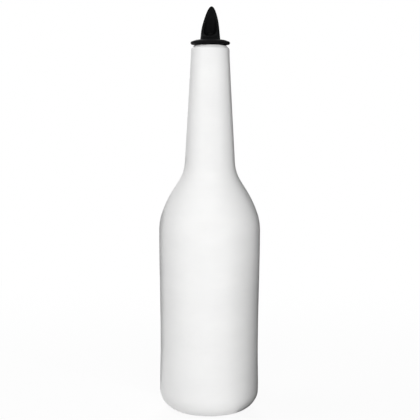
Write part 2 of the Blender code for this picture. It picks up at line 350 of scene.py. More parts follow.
def shoulder_line(neck_base, taper):
    """The hollow blend under the neck, the sloping shoulder and its corner into the body."""
    blend = NECK_BLEND_RADIUS * (math.cos(taper) - math.cos(SHOULDER_SLOPE))
    crown = SHOULDER_CROWN_RADIUS * (math.cos(CORNER_SLOPE) - math.cos(SHOULDER_SLOPE))
    corner = SHOULDER_CORNER_RADIUS * (1 - math.cos(CORNER_SLOPE))
    straight = SHOULDER_DIAMETER / 2 - neck_base[0] - blend - crown - corner
    line = [neck_base]
    line += bend(line[-1], NECK_BLEND_RADIUS, taper, SHOULDER_SLOPE)
    line.append((line[-1][0] + straight, line[-1][1] - straight / math.tan(SHOULDER_SLOPE)))
    line += bend(line[-1], SHOULDER_CROWN_RADIUS, SHOULDER_SLOPE, CORNER_SLOPE)
    line += bend(line[-1], SHOULDER_CORNER_RADIUS, CORNER_SLOPE, 0.0)
    return line


def base_lines(heel_top):
    """The heel down to the flat ring that the bottle stands on, and the push-up inside it."""
    heel = bend(heel_top, HEEL_RADIUS, 0.0, -math.pi / 2)
    ring_inner = heel[-1][0] - BEARING_RING_WIDTH
    push_up = [(ring_inner, 0.0)]
    for step in range(1, ARC_STEPS + 1):
        r = ring_inner * (1 - step / ARC_STEPS)
        push_up.append((r, PUSH_UP_HEIGHT * (1 + math.cos(math.pi * r / ring_inner)) / 2))
    return heel, push_up


def bottle_line():
    """The line up the inside, over the lip and down the outside, and two shares for its points.

    The first share is how far the skin's unevenness shows, and the second the parting line.
    """
    neck_top = (neck_top_radius, BOTTLE_HEIGHT - LIP_CHAMFER)
    neck_base = (NECK_BASE_DIAMETER / 2, BOTTLE_HEIGHT - NECK_LENGTH)
    taper = math.atan2(neck_base[0] - neck_top[0], neck_top[1] - neck_base[1])

    body = shoulder_line(neck_base, taper)
    body += ease(body[-1], (WAIST_DIAMETER / 2, WAIST_HEIGHT), 2 * ARC_STEPS)
    body += ease(body[-1], (HEEL_DIAMETER / 2, HEEL_RADIUS), ARC_STEPS)
    heel, push_up = base_lines(body[-1])

    bore_end = BOTTLE_HEIGHT - CORK_LENGTH - BORE_BELOW_CORK
    flare = neck_top_radius + (neck_top[1] - bore_end) * math.tan(taper) - WALL - mouth_radius
    inner = [(mouth_radius, bore_end), (mouth_radius + flare, bore_end - flare)]
    inner += inset(body + heel + push_up, WALL)
    inner = with_rows(inner, INNER_ROW_SPACING)[::-1]

    lip = lip_line()
    wall = with_rows([lip[-1]] + body + heel, ROW_SPACING)[1:]
    base = with_rows([heel[-1]] + push_up, ROW_SPACING)[1:]
    hidden = len(inner) + len(lip)
    uneven, parted = [0.0] * hidden, [0.0] * hidden
    for r, z in wall + base:
        below_lip = (BOTTLE_HEIGHT - 2 * LIP_UNDER_EDGE - LIP_CHAMFER - z) / SKIN_FADE
        uneven.append(max(0.0, min(1.0, below_lip, z / HEEL_RADIUS)))
    parted += [max(0.0, min(1.0, z / PARTING_HEIGHT)) for r, z in wall]
    parted += [max(0.0, min(PINCH_OFF_RISE, z / PARTING_HEIGHT)) for r, z in base]
    return inner + lip + wall + base, uneven, parted


def blown_shell_tree():
    """Turns a line into a blown shell, a little uneven, with a parting line on opposite sides."""
    tree, nodes, given = group_tree("Blown shell", "GeometryNodeTree", {
        "Line": ("NodeSocketGeometry", None),
        "Columns": ("NodeSocketInt", 64),
        "Skin Depth": ("NodeSocketFloat", 0.0),
        "Skin Wave": ("NodeSocketFloat", 0.03),
        "Skin Stretch": ("NodeSocketFloat", 1.0),
        "Parting Turn": ("NodeSocketFloat", 0.0),
        "Parting Height": ("NodeSocketFloat", 0.0),
        "Parting Half Width": ("NodeSocketFloat", 0.0005),
        "Material": ("NodeSocketMaterial", None),
    }, {"Shell": "NodeSocketGeometry"})
    profile = nodes.add("GeometryNodeMeshToCurve", {"Mesh": given["Line"]})
    path = nodes.add("GeometryNodeCurvePrimitiveCircle", {
        "Resolution": given["Columns"], "Radius": AXIS_CLEAR})
    turned_line = nodes.add("GeometryNodeCurveToMesh", {
        "Curve": path.outputs["Curve"], "Profile Curve": profile.outputs["Curve"]})
    shell = nodes.add("GeometryNodeMergeByDistance", {
        "Geometry": turned_line.outputs["Mesh"], "Distance": WELD})

    place = nodes.add("GeometryNodeInputPosition").outputs["Position"]
    normal = nodes.add("GeometryNodeInputNormal").outputs["Normal"]
    uneven = nodes.add("GeometryNodeInputNamedAttribute", {"Name": "uneven"})
    parted = nodes.add("GeometryNodeInputNamedAttribute", {"Name": "parted"})
    stretch = nodes.add("ShaderNodeCombineXYZ", {"X": 1.0, "Y": 1.0, "Z": given["Skin Stretch"]})
    stretched = nodes.vector("MULTIPLY", place, stretch.outputs["Vector"]).outputs["Vector"]
    wave = nodes.add("ShaderNodeTexNoise", {
        "Vector": stretched, "Scale": nodes.math("DIVIDE", 1.0, given["Skin Wave"]),
        "Detail": 1.0})
    sink = nodes.math("MULTIPLY", wave.outputs["Fac"], given["Skin Depth"])
    sink = nodes.math("MULTIPLY", sink, uneven.outputs["Attribute"])

    across = nodes.add("ShaderNodeCombineXYZ", {
        "X": nodes.math("COSINE", given["Parting Turn"]),
        "Y": nodes.math("SINE", given["Parting Turn"])})
    off_line = nodes.vector("DOT_PRODUCT", place, across.outputs["Vector"]).outputs["Value"]
    ridge = nodes.add("ShaderNodeMapRange", {
        "Value": nodes.math("ABSOLUTE", off_line), "From Max": given["Parting Half Width"],
        "To Min": given["Parting Height"], "To Max": 0.0}, interpolation_type="SMOOTHSTEP")
    rise = nodes.math("MULTIPLY", ridge.outputs["Result"], parted.outputs["Attribute"])
    moved = nodes.add("ShaderNodeVectorMath", {
        0: normal, "Scale": nodes.math("SUBTRACT", rise, sink)}, operation="SCALE")
    uneven_shell = nodes.add("GeometryNodeSetPosition", {
        "Geometry": shell.outputs["Geometry"], "Offset": moved.outputs["Vector"]})
    finish_tree(nodes, uneven_shell.outputs["Geometry"], given["Material"])
    return tree


def finned_sleeve_tree():
    """Sets swept fins at an even pitch on a plain sleeve and joins them to it."""
    tree, nodes, given = group_tree("Finned sleeve", "GeometryNodeTree", {
        "Sleeve": ("NodeSocketGeometry", None),
        "Fins": ("NodeSocketInt", 1),
        "Top Fin": ("NodeSocketFloat", 0.0),
        "Pitch": ("NodeSocketFloat", 0.01),
        "Root Radius": ("NodeSocketFloat", 0.01),
        "Edge Radius": ("NodeSocketFloat", 0.011),
        "Root Thickness": ("NodeSocketFloat", 0.001),
        "Edge Thickness": ("NodeSocketFloat", 0.001),
        "Sweep": ("NodeSocketFloat", 0.0),
        "Rounding": ("NodeSocketFloat", 0.0001),
        "Columns": ("NodeSocketInt", 64),
        "Material": ("NodeSocketMaterial", None),
    }, {"Sleeve": "NodeSocketGeometry"})
    half_root = nodes.math("MULTIPLY", given["Root Thickness"], 0.5)
    half_edge = nodes.math("MULTIPLY", given["Edge Thickness"], 0.5)
    root_x = nodes.math("SUBTRACT", given["Root Radius"], AXIS_CLEAR)
    edge_x = nodes.math("SUBTRACT", given["Edge Radius"], AXIS_CLEAR)

    def corner(x, sweep, half, side):
        """A corner of the fin's section, whose Y runs down the sleeve."""
        level = nodes.math("MULTIPLY_ADD", half, side, nodes.math("MULTIPLY", sweep, -1.0))
        return nodes.add("ShaderNodeCombineXYZ", {"X": x, "Y": level}).outputs["Vector"]

    section = nodes.add("GeometryNodeCurvePrimitiveQuadrilateral", {
        "Point 1": corner(root_x, 0.0, half_root, -1.0),
        "Point 2": corner(edge_x, given["Sweep"], half_edge, -1.0),
        "Point 3": corner(edge_x, given["Sweep"], half_edge, 1.0),
        "Point 4": corner(root_x, 0.0, half_root, 1.0),
    }, mode="POINTS")
    eased = nodes.add("GeometryNodeFilletCurve", {
        "Curve": section.outputs["Curve"], "Count": FIN_EDGE_STEPS, "Radius": given["Rounding"],
        "Limit Radius": True}, mode="POLY")
    path = nodes.add("GeometryNodeCurvePrimitiveCircle", {
        "Resolution": given["Columns"], "Radius": AXIS_CLEAR})
    fin = nodes.add("GeometryNodeCurveToMesh", {
        "Curve": path.outputs["Curve"], "Profile Curve": eased.outputs["Curve"]})
    start = nodes.add("ShaderNodeCombineXYZ", {"Z": given["Top Fin"]})
    step = nodes.add("ShaderNodeCombineXYZ", {"Z": nodes.math("MULTIPLY", given["Pitch"], -1.0)})
    row = nodes.add("GeometryNodeMeshLine", {
        "Count": given["Fins"], "Start Location": start.outputs["Vector"],
        "Offset": step.outputs["Vector"]})
    placed = nodes.add("GeometryNodeInstanceOnPoints", {
        "Points": row.outputs["Mesh"], "Instance": fin.outputs["Mesh"]})
    real = nodes.add("GeometryNodeRealizeInstances", {"Geometry": placed.outputs["Instances"]})
    joined = nodes.add("GeometryNodeMeshBoolean", {"Mesh 2": given["Sleeve"]}, operation="UNION")
    tree.links.new(real.outputs["Geometry"], joined.inputs["Mesh 2"])
    finish_tree(nodes, joined.outputs["Mesh"], given["Material"])
    return tree


def finish_tree(nodes, shape, material):
    """Smooth shading, real geometry and the material, as the last steps of a tree."""
    smooth = nodes.add("GeometryNodeSetShadeSmooth", {"Geometry": shape})
    real = nodes.add("GeometryNodeRealizeInstances", {"Geometry": smooth.outputs["Geometry"]})
    painted = nodes.add("GeometryNodeSetMaterial", {
        "Geometry": real.outputs["Geometry"], "Material": material})
    end = nodes.add("NodeGroupOutput")
    nodes.tree.links.new(painted.outputs["Geometry"], end.inputs[0])


def new_object(name, mesh):
    obj = bpy.data.objects.new(name, mesh)
    bpy.context.scene.collection.objects.link(obj)
    return obj


def baked(obj):
    """The shape that the modifiers make, as a plain mesh. The object goes."""
    graph = bpy.context.evaluated_depsgraph_get()
    mesh = bpy.data.meshes.new_from_object(obj.evaluated_get(graph))
    rough = obj.data
    bpy.data.objects.remove(obj)
    bpy.data.meshes.remove(rough)
    return mesh


def grown(name, mesh, tree, values):
    """The mesh that a Geometry Nodes tree makes of another one, with its inputs set by name."""
    seed = new_object(name + "_seed", mesh)
    step = seed.modifiers.new(tree.name, "NODES")
    step.node_group = tree
    for item in tree.interface.items_tree:
        if item.item_type == "SOCKET" and item.in_out == "INPUT" and item.name in values:
            step[item.identifier] = values[item.name]
    return baked(seed)


def piece(name, mesh, body, node):
    """A finished piece that stands for a node of the frame and moves with one of its bodies."""
    mesh.name = name
    mesh.shade_smooth()
    mesh.set_sharp_from_angle(angle=SHARP_EDGE)
    obj = new_object(name, mesh)
    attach(obj, body)
    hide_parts(node)
    return obj


def turned(name, line_at, columns, closed=True):
    """A line turned about Z. line_at gives the line at each angle, always with as many points."""
    shape = bmesh.new()
    lines = []
    for column in range(columns):
        angle = math.tau * column / columns
        lines.append([
            shape.verts.new((r * math.cos(angle), r * math.sin(angle), z))
            for r, z in line_at(angle)])
    for here, there in zip(lines, lines[1:] + lines[:1]):
        rows = list(range(len(here)))
        for row, after in zip(rows, rows[1:] + rows[:1] if closed else rows[1:]):
            shape.faces.new((here[row], here[after], there[after], there[row]))
    bmesh.ops.remove_doubles(shape, verts=shape.verts, dist=WELD)
    bmesh.ops.recalc_face_normals(shape, faces=shape.faces)
    mesh = bpy.data.meshes.new(name)
    shape.to_mesh(mesh)
    shape.free()
    return mesh


def rod(name, radius, bottom, top, rounding=0.0):
    """An upright rod about Z with its top edge rounded, to join to or cut from a piece."""
    line = rounded([
        (0.0, top, 0.0), (radius, top, rounding), (radius, bottom, 0.0), (0.0, bottom, 0.0)])
    return new_object(name, turned(name, lambda angle: line, ROD_COLUMNS, closed=False))


def combined(name, mesh, steps):
    """A mesh after Boolean steps, each an operation and the object that it uses up."""
    obj = new_object(name, mesh)
    for operation, other in steps:
        step = obj.modifiers.new(other.name, "BOOLEAN")
        step.operation = operation
        step.solver = "EXACT"
        step.object = other
    result = baked(obj)
    for operation, other in steps:
        bpy.data.objects.remove(other)
    return result


def beak_outside(height):
    return beak_root_radius - beak_taper * height


def beak_inside(height):
    top_radius = beak_tip_radius - BEAK_TIP_WALL * (1 + beak_taper)
    share = height / (BEAK_HEIGHT + BEAK_TIP_WALL)
    return stem_bore_radius + (top_radius - stem_bore_radius) * share


def scoop_curve():
    """Side view of the scoop's cut, from the tip to the low edge: distances forwards, heights."""
    tip = Vector((-beak_tip_radius, BEAK_HEIGHT))
    down = Vector((math.sin(SCOOP_TIP_ANGLE), -math.cos(SCOOP_TIP_ANGLE)))
    lip = Vector((beak_outside(SCOOP_LIP_HEIGHT), SCOOP_LIP_HEIGHT))
    outward = Vector((math.sin(SCOOP_LIP_ANGLE), -math.cos(SCOOP_LIP_ANGLE)))
    tip_handle = tip + down * SCOOP_TIP_PULL
    lip_handle = lip - outward * SCOOP_LIP_PULL
    curve = interpolate_bezier(tip, tip_handle, lip_handle, lip, SCOOP_STEPS)
    return [point.x for point in curve], [point.y for point in curve]


scoop_reach, scoop_level = scoop_curve()


def scoop_height(reach):
    """Height of the cut above the collar at a distance towards the beak's open side."""
    place = min(max(bisect.bisect_right(scoop_reach, reach), 1), len(scoop_reach) - 1)
    x0, x1 = scoop_reach[place - 1], scoop_reach[place]
    z0, z1 = scoop_level[place - 1], scoop_level[place]
    return z0 + (z1 - z0) * (reach - x0) / (x1 - x0)


def cut_level(radius_at, forwards):
    """Height above the collar where the scoop ends a wall. forwards is 1 at the open side."""
    low, high = 0.0, BEAK_HEIGHT
    for _ in range(CUT_SEARCH_STEPS):
        middle = (low + high) / 2
        if middle < scoop_height(radius_at(middle) * forwards):
            low = middle
        else:
            high = middle
    return low


def eased_corner(start, corner, end):
    """A short curve from one point to another that turns at the corner between them."""
    start, corner, end = Vector(start), Vector(corner), Vector(end)
    handles = start.lerp(corner, 2 / 3), end.lerp(corner, 2 / 3)
    curve = interpolate_bezier(start, *handles, end, EDGE_STEPS + 2)
    return [(point.x, point.y) for point in curve]


def rim_line(forwards):
    """The cut edge of the beak from its outer wall to its inner wall, with both corners eased."""
    outer_top = cut_level(beak_outside, forwards)
    inner_top = cut_level(beak_inside, forwards)
    outer_corner = (beak_outside(outer_top), outer_top)
    inner_corner = (beak_inside(inner_top), inner_top)
    cut = []
    for step in range(WALL_ROWS + 1):
        r = outer_corner[0] + (inner_corner[0] - outer_corner[0]) * step / WALL_ROWS
        cut.append((r, scoop_height(r * forwards)))
    cut[0], cut[-1] = outer_corner, inner_corner
    whole = length_of(cut)
    edge = min(BEAK_EDGE, BEAK_EDGE_SHARE * whole)
    middle = along(cut, edge, whole - edge, EDGE_STEPS + 3)
    outer_start = (beak_outside(outer_top - edge), outer_top - edge)
    inner_end = (beak_inside(inner_top - edge), inner_top - edge)
    return (
        eased_corner(outer_start, outer_corner, middle[0])[::-1],
        middle[1:-1],
        eased_corner(middle[-1], inner_corner, inner_end),
    )


def collar_line(foot):
    """From the beak's foot over the domed top, round the rim and in under it to the stem."""
    rim_radius = COLLAR_DIAMETER / 2 - COLLAR_RIM_RADIUS
    rim_level = seat_level + COLLAR_RIM_HEIGHT
    rim_top = (rim_radius, rim_level + COLLAR_RIM_RADIUS)
    corner = ((rim_radius + foot[0]) / 2, crown_level)
    dome = interpolate_bezier(foot, corner, corner, rim_top, ARC_STEPS)
    line = [(point[0], point[1]) for point in dome[1:]]
    for step in range(1, ARC_STEPS + 1):
        angle = math.pi / 2 - math.pi * step / ARC_STEPS
        r = rim_radius + COLLAR_RIM_RADIUS * math.cos(angle)
        line.append((r, rim_level + COLLAR_RIM_RADIUS * math.sin(angle)))
    return line + [(SEAT_DIAMETER / 2, seat_level), (stem_radius, seat_level)]


def stem_line():
    """Down the outside of the stem, over the barb that keeps the cork on, to its open end."""
    barb_top = cork_bottom_level - FIT_GAP
    end = barb_top - BARB_LENGTH
    return rounded([
        (stem_radius, seat_level, 0.0),
        (stem_radius, barb_top, BARB_EDGE),
        (stem_radius + BARB_REACH, barb_top, BARB_EDGE),
        (stem_radius - STEM_WALL / 2, end, STEM_END_EDGE),
        (stem_bore_radius, end, STEM_END_EDGE),
        (stem_bore_radius, crown_level, 0.0),
    ])[1:]


def spout_lines():
    """The spout's line at each angle. Only the beak's height changes round it."""
    foot_slope = math.atan(beak_taper)
    foot_height = BEAK_FOOT_RADIUS * (1 - math.sin(foot_slope))
    foot = (beak_outside(foot_height), crown_level + foot_height)
    fillet = bend(foot, BEAK_FOOT_RADIUS, foot_slope, math.pi / 2, 2 * EDGE_STEPS)
    below = fillet + collar_line(fillet[-1]) + stem_line()

    def line_at(angle):
        outer_edge, middle, inner_edge = (
            [(r, crown_level + height) for r, height in part]
            for part in rim_line(math.cos(angle + math.pi / 2)))
        outside = [outer_edge[-1], foot]
        inside = [below[-1], inner_edge[-1]]
        return (
            outer_edge + along(outside, 0.0, length_of(outside), WALL_ROWS)[1:] + below
            + along(inside, 0.0, length_of(inside), WALL_ROWS)[1:-1]
            + inner_edge[::-1] + middle[::-1])

    return line_at


def make_bottle(material):
    points, uneven, parted = bottle_line()
    mesh = bpy.data.meshes.new("bottle_line")
    edges = [(index, index + 1) for index in range(len(points) - 1)]
    mesh.from_pydata([(r - AXIS_CLEAR, -z, 0.0) for r, z in points], edges, [])
    for name, values in (("uneven", uneven), ("parted", parted)):
        mesh.attributes.new(name, "FLOAT", "POINT").data.foreach_set("value", values)
    shell = grown("bottle", mesh, blown_shell_tree(), {
        "Columns": BOTTLE_COLUMNS,
        "Skin Depth": SKIN_DEPTH,
        "Skin Wave": SKIN_WAVE,
        "Skin Stretch": SKIN_STRETCH,
        "Parting Turn": PARTING_TURN,
        "Parting Height": PARTING_HEIGHT,
        "Parting Half Width": PARTING_HALF_WIDTH,
        "Material": material,
    })
    return piece("blown_bottle", shell, "bottle", "bottle")


def make_cork(material):
    line = rounded([
        (cork_bore_radius, 0.0, 0.0),
        (cork_core_radius, 0.0, CORK_EDGE),
        (cork_core_radius, cork_bottom_level, CORK_NOSE),
        (cork_bore_radius, cork_bottom_level, CORK_EDGE),
        (cork_bore_radius, 0.0, 0.0),
    ])[:-1]
    sleeve = turned("sleeve", lambda angle: line, CORK_COLUMNS)
    pitch = CORK_LENGTH / (FIN_COUNT + 0.5)
    shape = grown("cork", sleeve, finned_sleeve_tree(), {
        "Fins": FIN_COUNT,
        "Top Fin": -pitch / 2,
        "Pitch": pitch,
        "Root Radius": cork_core_radius - FIN_BITE,
        "Edge Radius": mouth_radius - FIT_GAP,
        "Root Thickness": FIN_ROOT,
        "Edge Thickness": FIN_EDGE,
        "Sweep": FIN_SWEEP,
        "Rounding": FIN_ROUNDING,
        "Columns": CORK_COLUMNS,
        "Material": material,
    })
    shape.transform(pourer_place)
    return piece("finned_cork", shape, "cork", "pourer_cork")


def make_spout(material):
    """One moulding: beak, collar and stem, with the boss that holds the air tube and its vent."""
    boss_bottom = crown_level - BOSS_ROOT
    boss = rod("boss", socket_radius + BOSS_WALL, boss_bottom, boss_bottom + BOSS_HEIGHT, BOSS_EDGE)
    socket = rod("socket", socket_radius, cork_bottom_level, socket_top_level)
    boss.location = socket.location = (0.0, tube_offset, 0.0)
    socket.rotation_euler.z = SOCKET_TURN
    wall_back = beak_outside(vent_level - crown_level) - tube_offset
    flared = VENT_DIAMETER / 2 + 2 * VENT_FLARE
    vent_line = [
        (0.0, 2 * beak_root_radius),
        (flared, 2 * beak_root_radius),
        (flared, wall_back + VENT_FLARE),
        (VENT_DIAMETER / 2, wall_back - VENT_FLARE),
        (VENT_DIAMETER / 2, 0.0),
        (0.0, 0.0),
    ]
    vent = new_object("vent", turned("vent", lambda angle: vent_line, ROD_COLUMNS, closed=False))
    vent.location = (0.0, tube_offset, vent_level - VENT_DROP)
    vent.rotation_euler = (math.radians(-90.0), 0.0, 0.0)

    body = turned("spout_body", spout_lines(), SPOUT_COLUMNS)
    shape = combined("spout", body, [
        ("UNION", boss), ("DIFFERENCE", socket), ("DIFFERENCE", vent)])
    shape.transform(pourer_place)
    shape.materials.clear()
    shape.materials.append(material)
    return piece("moulded_spout", shape, "spout", "pour_spout")


def make_tube(material):
    """The air tube, with a slanted lower end and soft edges."""
    bore = tube_radius - TUBE_WALL
    slant = math.tan(TUBE_END_SLANT)
    end = -TUBE_REACH + tube_radius * slant

    def line_at(angle):
        lean = slant * math.sin(angle)
        outer_end = end + tube_radius * lean
        inner_end = end + bore * lean
        return rounded([
            (bore, (tube_top_level + inner_end) / 2, 0.0),
            (bore, tube_top_level, TUBE_EDGE),
            (tube_radius, tube_top_level, TUBE_EDGE),
            (tube_radius, outer_end, TUBE_EDGE),
            (bore, inner_end, TUBE_EDGE),
            (bore, (tube_top_level + inner_end) / 2, 0.0),
        ])[:-1]

    shape = turned("tube", line_at, TUBE_COLUMNS)
    shape.transform(pourer_place @ Matrix.Translation((0.0, tube_offset, 0.0)))
    shape.materials.append(material)
    return piece("cut_tube", shape, "spout", "air_tube")


# Marks in the plastic: the noise levels between which each one comes up
TONE_LEVELS = (0.32, 0.68)
SPECK_LEVELS = (0.05, 0.11)
RUB_LEVELS = (0.52, 0.72)
SCRATCH_LEVEL = 0.006

# Marks in the plastic: how fine they are next to the flow or the grain, and how scratches lie
SWIRL_DENSITY = 3.1
SPECK_DENSITY = 0.12
SCRATCH_TURNS = (0.5, -0.9)

# All four plastics bend light alike
PLASTIC_IOR = 1.50


def flow_group():
    """Slow drifts of colour and gloss where the plastic flowed and cooled unevenly."""
    tree, nodes, given = group_tree("Plastic flow", "ShaderNodeTree", {
        "Size": ("NodeSocketFloat", 0.03),
        "Stretch": ("NodeSocketFloat", 1.0),
    }, {"Drift": "NodeSocketFloat", "Height": "NodeSocketFloat"})
    place = nodes.add("ShaderNodeTexCoord").outputs["Object"]
    stretch = nodes.add("ShaderNodeCombineXYZ", {"X": 1.0, "Y": 1.0, "Z": given["Stretch"]})
    stretched = nodes.vector("MULTIPLY", place, stretch.outputs["Vector"]).outputs["Vector"]
    density = nodes.math("DIVIDE", 1.0, given["Size"])
    drift = nodes.add("ShaderNodeTexNoise", {
        "Vector": stretched, "Scale": density, "Detail": 3.0, "Roughness": 0.5})
    swirl = nodes.add("ShaderNodeTexNoise", {
        "Vector": stretched, "Scale": nodes.math("MULTIPLY", density, SWIRL_DENSITY),
        "Detail": 1.0})
    nodes.add("NodeGroupOutput", {"Drift": drift.outputs["Fac"], "Height": swirl.outputs["Fac"]})
    return tree


def grain_group():
    """The fine skin that a mould's surface leaves, and pin-size specks in it."""
    tree, nodes, given = group_tree("Mould grain", "ShaderNodeTree", {
        "Size": ("NodeSocketFloat", 0.0006),
    }, {"Height": "NodeSocketFloat", "Specks": "NodeSocketFloat"})
    place = nodes.add("ShaderNodeTexCoord").outputs["Object"]
    density = nodes.math("DIVIDE", 1.0, given["Size"])
    grain = nodes.add("ShaderNodeTexNoise", {
        "Vector": place, "Scale": density, "Detail": 2.0, "Roughness": 0.6})
    cells = nodes.add("ShaderNodeTexVoronoi", {
        "Vector": place, "Scale": nodes.math("MULTIPLY", density, SPECK_DENSITY)})
    specks = nodes.add("ShaderNodeMapRange", {
        "Value": cells.outputs["Distance"], "From Min": SPECK_LEVELS[0],
        "From Max": SPECK_LEVELS[1], "To Min": 1.0, "To Max": 0.0})
    nodes.add("NodeGroupOutput", {
        "Height": grain.outputs["Fac"], "Specks": specks.outputs["Result"]})
    return tree


def scuff_group():
    """Faint rubbed patches and hair scratches from handling."""
    tree, nodes, given = group_tree("Handling scuffs", "ShaderNodeTree", {
        "Size": ("NodeSocketFloat", 0.02),
        "Length": ("NodeSocketFloat", 12.0),
    }, {"Rub": "NodeSocketFloat", "Scratch": "NodeSocketFloat"})
    place = nodes.add("ShaderNodeTexCoord").outputs["Object"]
    density = nodes.math("DIVIDE", 1.0, given["Size"])
    patches = nodes.add("ShaderNodeTexNoise", {
        "Vector": place, "Scale": density, "Detail": 4.0, "Roughness": 0.6})
    rub = nodes.add("ShaderNodeMapRange", {
        "Value": patches.outputs["Fac"], "From Min": RUB_LEVELS[0], "From Max": RUB_LEVELS[1]})
    scratch = None
    for turn in SCRATCH_TURNS:
        tilted = nodes.add("ShaderNodeMapping", {
            "Vector": place, "Rotation": (turn, turn / 2, turn)})
        drawn = nodes.add("ShaderNodeCombineXYZ", {
            "X": given["Length"], "Y": given["Length"], "Z": 1.0})
        long_way = nodes.vector("MULTIPLY", tilted.outputs["Vector"], drawn.outputs["Vector"])
        hairs = nodes.add("ShaderNodeTexNoise", {
            "Vector": long_way.outputs["Vector"], "Scale": density,
            "Detail": 2.0, "Roughness": 0.7})
        off_middle = nodes.math("ABSOLUTE", nodes.math("SUBTRACT", hairs.outputs["Fac"], 0.5))
        thin = nodes.add("ShaderNodeMapRange", {
            "Value": off_middle, "From Min": 0.0, "From Max": SCRATCH_LEVEL,
            "To Min": 1.0, "To Max": 0.0}).outputs["Result"]
        scratch = thin if scratch is None else nodes.math("MAXIMUM", scratch, thin)
    nodes.add("NodeGroupOutput", {
        "Rub": rub.outputs["Result"],
        "Scratch": nodes.math("MULTIPLY", scratch, rub.outputs["Result"])})
    return tree


flow, grain, scuffs = flow_group(), grain_group(), scuff_group()


def mix_colour(nodes, factor, below, above):
    """One colour over another. Each is three numbers or a socket."""
    below, above = (
        colour if isinstance(colour, bpy.types.NodeSocket) else (*colour, 1.0)
        for colour in (below, above))
    mix = nodes.add("ShaderNodeMix", {0: factor, 6: below, 7: above}, data_type="RGBA")
    return mix.outputs[2]


def plastic(name, looks):
    """A moulded plastic: its two tones, its gloss, and how flow, grain and scuffs show on it."""
    material = bpy.data.materials.new(name)
    material.use_nodes = True
    nodes = Nodes(material.node_tree)
    shader = material.node_tree.nodes["Principled BSDF"]
    shader.inputs["Specular IOR Level"].default_value = looks["specular"]
    shader.inputs["IOR"].default_value = PLASTIC_IOR

    flowed = nodes.add("ShaderNodeGroup", node_tree=flow)
    flowed.inputs["Size"].default_value = looks["flow_size"]
    flowed.inputs["Stretch"].default_value = looks["flow_stretch"]
    grained = nodes.add("ShaderNodeGroup", node_tree=grain)
    grained.inputs["Size"].default_value = looks["grain_size"]
    scuffed = nodes.add("ShaderNodeGroup", node_tree=scuffs)
    scuffed.inputs["Size"].default_value = looks["scuff_size"]

    tone = nodes.add("ShaderNodeMapRange", {
        "Value": flowed.outputs["Drift"], "From Min": TONE_LEVELS[0],
        "From Max": TONE_LEVELS[1]}).outputs["Result"]
    colour = mix_colour(nodes, tone, looks["dark"], looks["light"])
    specks = nodes.math("MULTIPLY", grained.outputs["Specks"], looks["speck_show"])
    marked = mix_colour(nodes, specks, colour, looks["speck"])
    scratches = nodes.math("MULTIPLY", scuffed.outputs["Scratch"], looks["scuff_show"])
    worn = mix_colour(nodes, scratches, marked, looks["scuff"])
    nodes.tree.links.new(worn, shader.inputs["Base Color"])

    gloss = nodes.math("MULTIPLY_ADD", tone, looks["gloss_drift"], looks["roughness"])
    gloss = nodes.math("MULTIPLY_ADD", scuffed.outputs["Rub"], looks["rub_dulls"], gloss)
    nodes.tree.links.new(gloss, shader.inputs["Roughness"])

    skin = nodes.add("ShaderNodeBump", {
        "Height": flowed.outputs["Height"], "Distance": looks["flow_depth"], "Strength": 1.0})
    fine = nodes.add("ShaderNodeBump", {
        "Height": grained.outputs["Height"], "Distance": looks["grain_depth"], "Strength": 1.0,
        "Normal": skin.outputs["Normal"]})
    nodes.tree.links.new(fine.outputs["Normal"], shader.inputs["Normal"])
    return material


WHITE_PLASTIC = {
    "light": (0.885, 0.885, 0.880), "dark": (0.850, 0.850, 0.847), "specular": 0.5,
    "roughness": 0.28, "gloss_drift": 0.05, "rub_dulls": 0.04,
    "flow_size": 0.045, "flow_stretch": 2.2, "flow_depth": 0.00010,
    "grain_size": 0.0008, "grain_depth": 0.000006,
    "speck": (0.70, 0.70, 0.69), "speck_show": 0.10,
    "scuff_size": 0.030, "scuff": (0.66, 0.66, 0.65), "scuff_show": 0.35,
}
BLACK_PLASTIC = {
    "light": (0.0060, 0.0060, 0.0062), "dark": (0.0044, 0.0044, 0.0046), "specular": 0.03,
    "roughness": 0.34, "gloss_drift": 0.08, "rub_dulls": 0.10,
    "flow_size": 0.010, "flow_stretch": 1.0, "flow_depth": 0.00003,
    "grain_size": 0.0005, "grain_depth": 0.00001,
    "speck": (0.05, 0.05, 0.05), "speck_show": 0.25,
    "scuff_size": 0.008, "scuff": (0.05, 0.05, 0.05), "scuff_show": 0.5,
}
SOFT_BLACK_PLASTIC = {
    "light": (0.026, 0.026, 0.027), "dark": (0.016, 0.016, 0.017), "specular": 0.3,
    "roughness": 0.58, "gloss_drift": 0.08, "rub_dulls": -0.12,
    "flow_size": 0.012, "flow_stretch": 1.0, "flow_depth": 0.00004,
    "grain_size": 0.0004, "grain_depth": 0.00003,
    "speck": (0.07, 0.07, 0.07), "speck_show": 0.4,
    "scuff_size": 0.008, "scuff": (0.08, 0.08, 0.08), "scuff_show": 0.4,
}
TUBE_PLASTIC = {
    "light": (0.66, 0.66, 0.64), "dark": (0.58, 0.58, 0.56), "specular": 0.5,
    "roughness": 0.38, "gloss_drift": 0.08, "rub_dulls": 0.08,
    "flow_size": 0.006, "flow_stretch": 0.25, "flow_depth": 0.00002,
    "grain_size": 0.0004, "grain_depth": 0.000008,
    "speck": (0.45, 0.45, 0.43), "speck_show": 0.3,
    "scuff_size": 0.010, "scuff": (0.45, 0.45, 0.44), "scuff_show": 0.5,
}

make_bottle(plastic("white_blown_plastic", WHITE_PLASTIC))
make_cork(plastic("soft_black_cork", SOFT_BLACK_PLASTIC))
make_spout(plastic("black_moulded_plastic", BLACK_PLASTIC))
make_tube(plastic("milky_tube_plastic", TUBE_PLASTIC))

